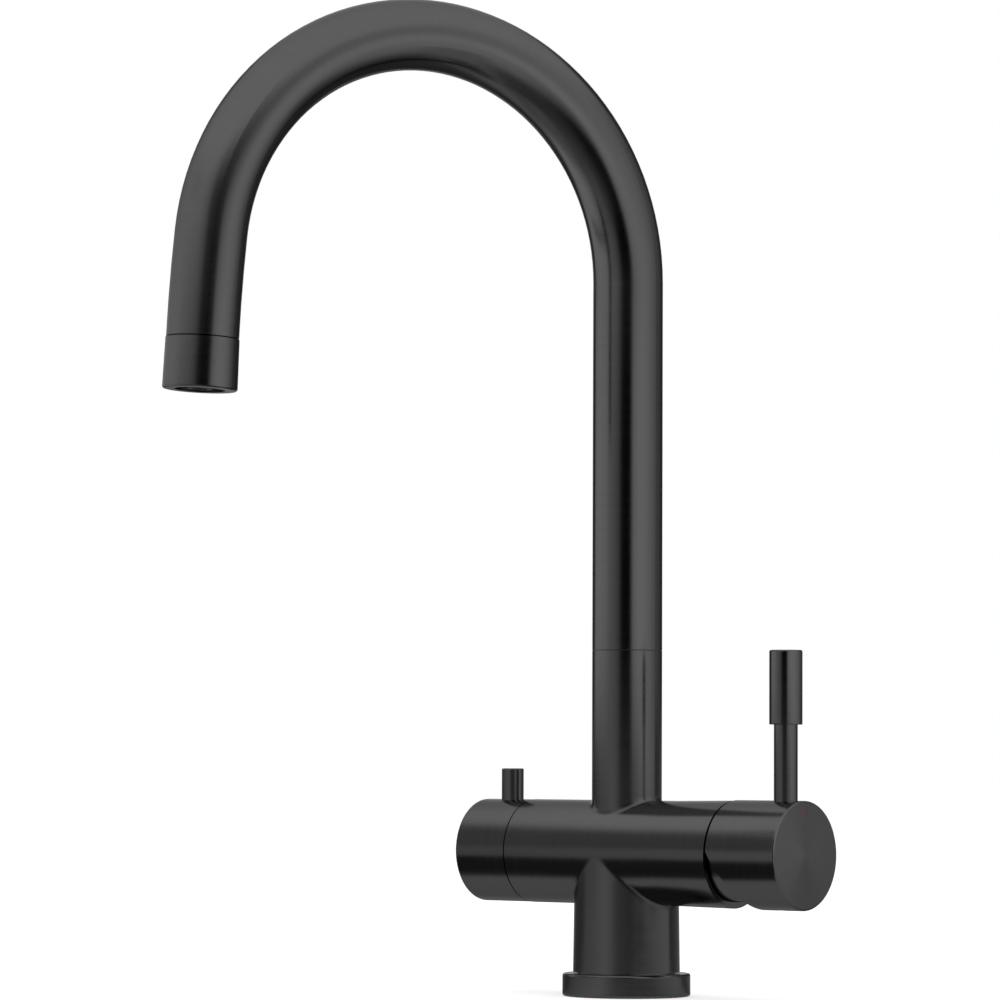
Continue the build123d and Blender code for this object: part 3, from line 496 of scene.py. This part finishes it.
def marksAndPaintedSheen(shade, spot, values, relief):
    x, y, z = spot.split()
    turn = (z - barrelAxis).angleOver(y)
    # painted sheen: the end face's colour is made lighter and darker in wedges round the axis, standing in for the
    # reflection wedges of a turned face
    paintedSheen = shade.maths("COSINE", turn * 2) * marks["sheen"]
    paintedSheen = paintedSheen + shade.maths("COSINE", turn - marks["leanTo"]) * marks["lean"] + marks["lift"]
    paintedSheen = 1 + paintedSheen * (x > marks["face"])
    grey = shade.node("CombineColor", None, {0: paintedSheen, 1: paintedSheen, 2: paintedSheen})
    # the painted sheen multiplies the metal's colour
    turned = {"data_type": "RGBA", "blend_type": "MULTIPLY"}
    values["Base Color"] = shade.node("Mix", turned, {0: 1.0, 6: values["Base Color"], 7: grey}, 2)
    soft = marks["soft"]
    tall = z.ease(marks["low"] - soft, marks["low"] + soft) * z.ease(marks["high"] + soft, marks["high"] - soft)
    tall = tall * (x > marks["face"])
    hot = tall * y.ease(marks["hotSide"] - soft, marks["hotSide"] + soft) * y.ease(0.0, -2 * marks["gap"])
    cold = tall * y.ease(0.0, 2 * marks["gap"]) * y.ease(marks["coldSide"] + soft, marks["coldSide"] - soft)
    painted = hot + cold
    values["Base Color"] = cold.tint(hot.tint(values["Base Color"], marks["hot"]), marks["cold"])
    values["Metallic"] = 1 - painted
    values["Roughness"] = painted.blend(values["Roughness"], marks["paintRoughness"])
    relief["Height"] = relief["Height"] * (x > marks["face"]).blend(1.0, marks["faceGrain"])


def dressDarkMetal():
    dress("tap_body", brushed("bodyMetal", bodyPlaces, darkMetal, bareInside))
    dress("spout_tube", brushed("tubeMetal", spoutPlaces, darkMetal, seamShadow))
    dress("outlet_sleeve", brushed("outletMetal", spoutPlaces, darkMetal, seamShadow))
    barrelTurned = turnedRound("x", "cover_ring")
    dress("mixer_cap", brushed("mixerCapMetal", barrelTurned, darkMetal, marksAndPaintedSheen))
    capMetal = brushed("capMetal", barrelTurned, darkMetal)
    for name in ("filter_cap", "cover_ring"):
        dress(name, capMetal)
    dress("deck_flange", brushed("flangeMetal", turnedRound("z", "deck_flange"), darkMetal))
    leverMetal = brushed("leverMetal", turnedRound("z", "lever_rod"), slimMetal)
    for name in ("lever_rod", "lever_grip"):
        dress(name, leverMetal)
    dress("filter_lever_pin", brushed("pinMetal", turnedRound("z", "filter_lever_pin"), slimMetal))


# pieces turned from brass and steel, with the way that each one's axis runs
turnedPieces = {
    "brass": (machinedBrass, {"retaining_nut": "x", "headwork_body": "x", "filter_spindle": "x", "spout_tail": "z"}),
    "steel": (stainless, {"lever_pivot_pin": "y", "cartridge_stem": "x", "mixer_grub_screw": "z",
                          "filter_grub_screw": "z", "spindle_clip": "x", "spout_stop_screw": "y"}),
}


def dressTurned():
    for finish, (look, ways) in turnedPieces.items():
        for name, way in ways.items():
            dress(name, brushed(finish + "_" + name, turnedRound(way, name), look))


# woven wire of the aerator's sieve, with painted shade: its colour darkens between the wires
sieveWire = {"pitch": 0.55 * mm, "height": 0.12 * mm, "between": (0.10, 0.10, 0.10, 1.0), "roughness": (0.25, 0.6)}


def dressSieve():
    material, shade = newTree("sieveSteel")
    x, y, z = shade.node("TexCoord", output="Object").split()
    turns = math.tau / sieveWire["pitch"]
    acrossX = shade.maths("SINE", x * turns)
    acrossY = shade.maths("SINE", y * turns)
    woven = acrossX.maths("MAXIMUM", acrossX, acrossY)
    bump = shade.node("Bump", None, {"Height": woven, "Strength": 1.0, "Distance": sieveWire["height"]})
    finishTree(shade, shade.node("BsdfPrincipled", None, {
        # painted shade: the colour runs from dark between the wires to steel on their crests
        "Base Color": woven.ease(0.0, 1.0).tint(sieveWire["between"], stainless["shades"][1]),
        "Metallic": 1.0, "Roughness": woven.ease(1.0, 0.0).blend(*sieveWire["roughness"]), "Normal": bump,
    }))
    dress("aerator_sieve", material)


# plastics, rubber and ceramic: colour between two shades, size of its clouds, and a fine grain
mouldedLooks = {
    "ceramic": {"shades": ((0.80, 0.79, 0.75, 1.0), (0.88, 0.87, 0.84, 1.0)), "roughness": 0.16, "spread": 0.10,
                "cloud": 2.0 * mm, "grain": 0.12 * mm, "depth": 0.001 * mm,
                "pieces": ("mixer_fixed_disc", "mixer_moving_disc", "filter_fixed_disc", "filter_moving_disc")},
    "blackRubber": {"shades": ((0.016, 0.016, 0.016, 1.0), (0.034, 0.034, 0.033, 1.0)), "roughness": 0.62,
                    "spread": 0.20, "cloud": 1.5 * mm, "grain": 0.15 * mm, "depth": 0.006 * mm,
                    "pieces": ("flange_gasket", "cartridge_port_seals", "headwork_seal", "filter_seat_seal",
                               "spindle_seals", "tail_rings", "filter_tube_seal", "outlet_seal")},
    "blackPlastic": {"shades": ((0.017, 0.017, 0.018, 1.0), (0.026, 0.026, 0.026, 1.0)), "roughness": 0.42,
                     "spread": 0.16, "cloud": 5.0 * mm, "grain": 0.20 * mm, "depth": 0.004 * mm,
                     "pieces": ("swivel_washer", "aerator_insert")},
    "nozzlePlastic": {"shades": ((0.012, 0.012, 0.012, 1.0), (0.018, 0.018, 0.018, 1.0)), "roughness": 0.50,
                      "spread": 0.14, "cloud": 4.0 * mm, "grain": 0.20 * mm, "depth": 0.003 * mm,
                      "pieces": ("filter_nozzle",)},
    "greyPlastic": {"shades": ((0.31, 0.32, 0.34, 1.0), (0.38, 0.39, 0.41, 1.0)), "roughness": 0.40, "spread": 0.16,
                    "cloud": 6.0 * mm, "grain": 0.25 * mm, "depth": 0.004 * mm,
                    "pieces": ("cartridge_base", "cartridge_housing", "cartridge_rotor", "disc_carrier",
                               "slip_ring")},
}


def moulded(name, look):
    material, shade = newTree(name)
    spot = shade.node("TexCoord", output="Object")
    clouds = shade.noise(spot, 3.0, 0.6, 1 / look["cloud"])
    rough = shade.noise(spot, 2.0, 0.6, 1 / look["grain"])
    finishTree(shade, shade.node("BsdfPrincipled", None, {
        "Base Color": clouds.ease(0.3, 0.7).tint(*look["shades"]),
        "Roughness": look["roughness"] + (clouds + rough - 1) * look["spread"],
        "Normal": shade.node("Bump", None, {"Height": rough, "Strength": 1.0, "Distance": look["depth"]}),
    }))
    return material


# white tube for filtered water, with the faint lines of drawing along it
drawnTube = {"shades": ((0.74, 0.74, 0.71, 1.0), (0.84, 0.84, 0.82, 1.0)), "lineWidth": 0.5 * mm,
             "lineLength": 60.0 * mm, "depth": 0.004 * mm, "roughness": (0.28, 0.40)}


def dressDrawnTube():
    material, shade = newTree("drawnTube")
    along, round = spoutPlaces(shade)
    lines = shade.noise(
        shade.join(along / drawnTube["lineLength"], round / drawnTube["lineWidth"], 0.0))
    finishTree(shade, shade.node("BsdfPrincipled", None, {
        "Base Color": lines.ease(0.3, 0.7).tint(*drawnTube["shades"]),
        "Roughness": lines.blend(*drawnTube["roughness"]),
        "Normal": shade.node("Bump", None, {"Height": lines, "Strength": 1.0, "Distance": drawnTube["depth"]}),
    }))
    dress("filter_tube", material)


def dressMoulded():
    for finish, look in mouldedLooks.items():
        material = moulded(finish, look)
        for name in look["pieces"]:
            dress(name, material)


makeCamera()
makeWorld()
makeDrum()
makeFloor()
makeLamp()
print("studio made")
dressDarkMetal()
print("dark metal dressed")
dressTurned()
dressSieve()
dressMoulded()
dressDrawnTube()
print("inner pieces dressed")

bpy.context.scene.view_settings.view_transform = "Standard"
